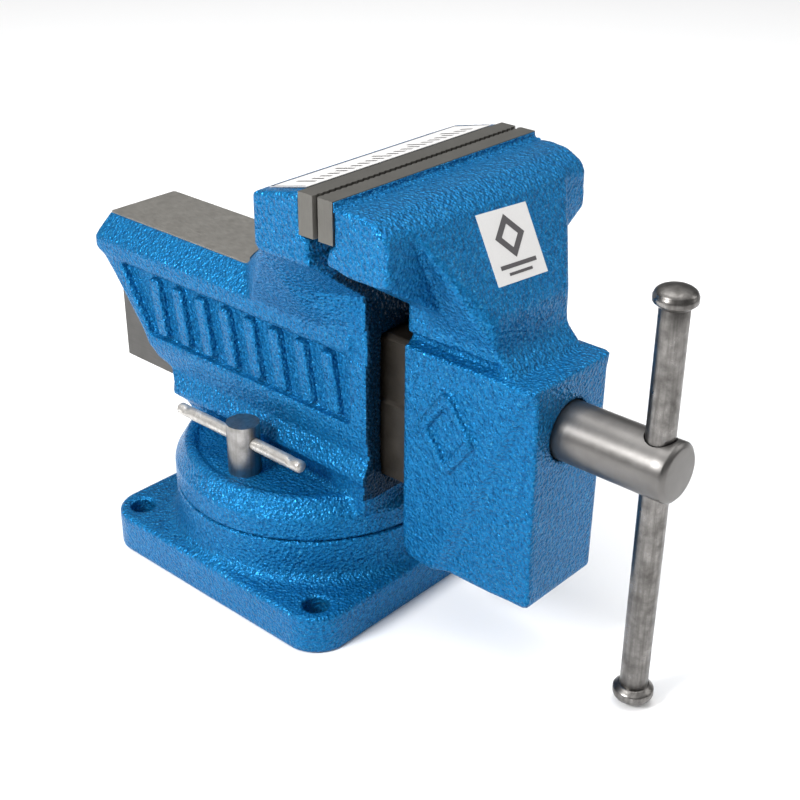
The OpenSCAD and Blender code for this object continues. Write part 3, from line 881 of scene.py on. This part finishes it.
def handle_cap(name, node, up):
    """Turned cap with a cylindrical rim and a domed end."""
    low, high = corners(node)
    height = high.z - low.z
    r = (high.x - low.x) / 2
    rim = 0.52 * height
    dome, step = rim + 0.35, 0.3
    profile = [(0.0, 5.9), (0.25, 6.2), (1.1, r - 0.9), (1.6, r - 0.25), (2.0, r), (rim, r), (dome, r - step)]
    profile += [(dome + (height - dome) * math.sin(a) ** 0.92, (r - step) * math.cos(a) ** 1.1)
                for a in (math.radians(d) for d in (10, 20, 32, 44, 56, 68, 78, 85))]
    profile.append((height, 0.4))
    centre = (low + high) / 2
    origin = (centre.x, centre.y, low.z if up else high.z)
    return lathe(name, profile, origin, (0, 0, 1 if up else -1), 56)


def handle_bar():
    """Plain round bar with chamfered ends."""
    low, high = corners("handle_bar")
    r = (high.x - low.x) / 2
    centre = (low + high) / 2
    length = high.z - low.z
    chamfer, parts = 0.5, 12
    profile = [(0, r - chamfer), (chamfer, r)]
    profile += [(chamfer + (length - 2 * chamfer) * i / parts, r) for i in range(1, parts)]
    profile += [(length - chamfer, r), (length, r - chamfer)]
    return lathe("handle_rod", profile, (centre.x, centre.y, low.z), (0, 0, 1), 48)


# ---------------------------------------------------------------- swivel locks

def lock_bar(side, node):
    """Thin bar, pinched and slightly spread near each end."""
    low, high = corners(node)
    centre = (low + high) / 2
    length = high.y - low.y
    r = (high.z - low.z) / 2
    end_run, end_drop = 0.7, 0.45
    pinch_at, pinch_reach = 5.4, 1.3
    stations = [0, 0.25, end_run, 2.2, 3.6, 4.4, pinch_at, 6.4, 7.2, 8.6, 12]
    heights = stations + [length / 2] + [length - h for h in reversed(stations)]

    def radius(h):
        end = min(h, length - h)
        return r - end_drop + end_drop * min(1, end / end_run) if end < end_run else r

    def pinch(p):
        end = min(p.z, length - p.z)
        squeeze = math.exp(-((end - pinch_at) / pinch_reach) ** 2)
        return (p.x * (1 + 0.22 * squeeze), p.y * (1 - 0.34 * squeeze), p.z)

    profile = [(h, radius(h)) for h in heights]
    return lathe(f"{side}_lock_rod", profile, (centre.x, low.y, centre.z), (0, 1, 0), 40, pinch)


# ---------------------------------------------------------------- labels

def printed(name, origin, across, up, lift, shapes):
    """Thin ink patches over a flat label; each shape is an outline in the label's own plane."""
    across, up = Vector(across).normalized(), Vector(up).normalized()
    normal = across.cross(up)
    points, faces = [], []
    for shape in shapes:
        first, n = len(points), len(shape)
        for height in (lift, lift + 0.04):
            points += [Vector(origin) + across * u + up * v + normal * height for u, v in shape]
        faces += [tuple(first + k for k in reversed(range(n))), tuple(first + n + k for k in range(n))]
        faces += [(first + k, first + (k + 1) % n, first + n + (k + 1) % n, first + n + k) for k in range(n)]
    return mesh_piece(name, points, faces, smooth=False)


def bar(u, v, width, height):
    """Rectangle around a point."""
    w, h = width / 2, height / 2
    return [(u - w, v - h), (u + w, v - h), (u + w, v + h), (u - w, v + h)]


def rule_marks():
    """A plain rule printed on the jaw's strip: evenly spaced ticks and a border line."""
    drop, run = JAW_TOP - CREST_Z, HEAD_REAR - 3.7 - SEAT_FIXED
    ticks, pitch, border_half = 23, 4, 51.4
    shapes = [bar(pitch * i - 44, 7.5 if i % 5 else 9.5, 1.3, 6 if i % 5 else 10) for i in range(ticks)]
    shapes += [bar(0, 20.3, 103.4, 0.8), bar(-border_half, 11, 0.8, 18), bar(border_half, 11, 0.8, 18)]
    return printed("jaw_label_rule", (0, SEAT_FIXED, JAW_TOP), (1, 0, 0), (0, run, -drop), LABEL_T, shapes)


def front_marks():
    """A plain diamond over two bars."""
    tilt = math.atan2(PROW_Y - PROW_NOSE_Y, PROW_TOP - PROW_NOSE_Z)
    turn = math.radians(-4)
    height = 171.7
    middle = (0.5, PROW_Y - (PROW_TOP - height) * math.tan(tilt), height)
    side, rise = Vector((1, 0, 0)), Vector((0, math.sin(tilt), math.cos(tilt)))
    across = side * math.cos(turn) + rise * math.sin(turn)
    up = rise * math.cos(turn) - side * math.sin(turn)
    centre, hollow = 3.2, 0.55
    outer = [(-8.2, centre), (0, -5), (8.2, centre), (0, 11.4)]
    inner = [(hollow * u, centre + hollow * (v - centre)) for u, v in outer]
    shapes = [[outer[k - 1], outer[k], inner[k], inner[k - 1]] for k in range(4)]
    shapes += [bar(0, -7.4, 20, 1.6), bar(0, -10.3, 13, 1.1)]
    return printed("front_label_sign", middle, across, up, LABEL_T, shapes)


# ---------------------------------------------------------------- build

finish_piece(swivel_base(), "base", PAINT, ["swivel_base"])
casting = finish_piece(fixed_body(), "fixed_jaw", PAINT, ["fixed_body"])
# Painted shade: the body's front face into the jaw gap and the faces in the slide's tunnel get the darkened
# paint.
shade_faces(casting, PAINTED_SHADE_BLUE, lambda at, n: (
    n.y < -0.6 and at.y < FRONT_Y + 1 and 55 < at.z < 160
    or abs(at.x) < TUNNEL_HALF + 0.5 and 64 < at.z < 128))
finish_piece(anvil_face(), "fixed_jaw", ANVIL)
casting = finish_piece(movable_casting(), "movable_jaw", PAINT, ["movable_jaw"])
# Painted shade: the movable box's rear faces, which look into the jaw gap, get the darkened paint.
shade_faces(casting, PAINTED_SHADE_BLUE, lambda at, n: n.y > 0.6 and at.y > BOX_REAR - 1 and at.z < 165)
finish_piece(seat_lip(), "movable_jaw", PAINT)
finish_piece(slide(), "movable_jaw", SLIDE)
finish_piece(spindle_head(), "spindle", TURNED, ["spindle"])
finish_piece(spindle_thread(), "spindle", TURNED)
finish_piece(handle_bar(), "handle", PLATED, ["handle_bar"])
for place in ("upper", "lower"):
    cap = handle_cap(f"handle_dome_{place}", f"{place}_handle_cap", place == "upper")
    finish_piece(cap, "handle", PLATED, [f"{place}_handle_cap"])
finish_piece(rule_marks(), "fixed_jaw", INK)
finish_piece(front_marks(), "movable_jaw", INK)
for side in ("left", "right"):
    finish_piece(lock_bar(side, f"{side}_lock_bar"), f"{side}_lock_bar", LIT_ZINC,
                 [f"{side}_lock_bar"])

# Pieces that keep their CAD shape: material, and width of the edges' rounding
CAD_LOOKS = {
    "fixed_jaw_plate": (PLATE, 0.25), "movable_jaw_plate": (PLATE, 0.25),
    "left_lock_nut": (LOCK, 0.5), "right_lock_nut": (LOCK, 0.5),
    "fixed_plate_screws": (DARK, 0), "movable_plate_screws": (DARK, 0), "nut_bolt": (DARK, 0.3),
    "swivel_t_bolts": (DARK, 0.3), "spindle_nut": (NUT_IRON, 0.5), "thrust_washer": (TURNED, 0),
    "retaining_collar": (DARK, 0.3), "collar_pin": (TURNED, 0),
    "jaw_label": (PAPER, 0), "front_label": (PAPER, 0),
}
for node, (material, edge) in CAD_LOOKS.items():
    piece = nodes[node]
    piece.data.materials.clear()
    piece.data.materials.append(material)
    if edge:
        soften(piece, edge)


# ---------------------------------------------------------------- floor, light, camera

def stage():
    """A white floor, 24 m square, so that its edge stays out of sight."""
    reach = 12000
    points = [(-reach, -reach, 0), (reach, -reach, 0), (reach, reach, 0), (-reach, reach, 0)]
    floor = mesh_piece("floor", points, [(0, 1, 2, 3)], smooth=False)
    s = Shader("floor_white")
    tone = s.noise(400, 2.0)
    floor.data.materials.append(s.output(Base_Color=s.mix(tone, (0.95, 0.95, 0.955), (0.97, 0.97, 0.97)),
                                         Roughness=s.ramp(tone, (0.3, 0.85), (0.7, 0.9))))


def area_light(name, place, target, size, watts):
    """White rectangular light; place, target and size are in metres."""
    data = bpy.data.lights.new(name, "AREA")
    data.shape = "RECTANGLE"
    data.size, data.size_y = size
    data.energy = watts
    lamp = bpy.data.objects.new(name, data)
    bpy.context.scene.collection.objects.link(lamp)
    lamp.location = Vector(place)
    lamp.rotation_euler = (Vector(target) - Vector(place)).to_track_quat("-Z", "Y").to_euler()


def lights():
    """Soft studio light, shown without the tone curve that would wash out the blue."""
    bpy.context.scene.view_settings.view_transform = "Standard"
    world = bpy.data.worlds.new("studio")
    bpy.context.scene.world = world
    world.use_nodes = True
    world.node_tree.nodes["Background"].inputs["Color"].default_value = (1, 1, 1, 1)
    world.node_tree.nodes["Background"].inputs["Strength"].default_value = 0.2
    aim = (0, -0.04, 0.1)
    area_light("key_left", (-0.9, 0.1, 0.7), aim, (0.3, 0.3), 12)
    area_light("top_soft", (0.05, 0.0, 1.3), aim, (1.0, 0.8), 8)
    area_light("front_right", (0.75, -0.85, 0.6), aim, (0.5, 0.5), 2.5)
    area_light("ceiling", (0, 0, 3.2), (0, 0.001, 0), (7, 7), 150)


def camera():
    """The photograph's view: place, aim, roll and lens."""
    azimuth, elevation, roll = (math.radians(a) for a in (-48.196, 27.866, 0.470))
    target = Vector((-0.92, -51.85, 89.23)) * MM
    distance = 564.9 * MM
    focal_px, image_px = 1366.55, 800
    back = Vector((math.sin(azimuth) * math.cos(elevation), -math.cos(azimuth) * math.cos(elevation),
                   math.sin(elevation)))
    data = bpy.data.cameras.new("camera")
    data.sensor_width = 36
    data.lens = focal_px / image_px * data.sensor_width
    data.clip_start, data.clip_end = 0.01, 20
    eye = bpy.data.objects.new("camera", data)
    bpy.context.scene.collection.objects.link(eye)
    level = (-back).to_track_quat("-Z", "Y").to_matrix()
    eye.rotation_euler = (level @ Matrix.Rotation(roll, 3, "Z")).to_euler()
    eye.location = target + back * distance
    bpy.context.scene.camera = eye


stage()
lights()
camera()
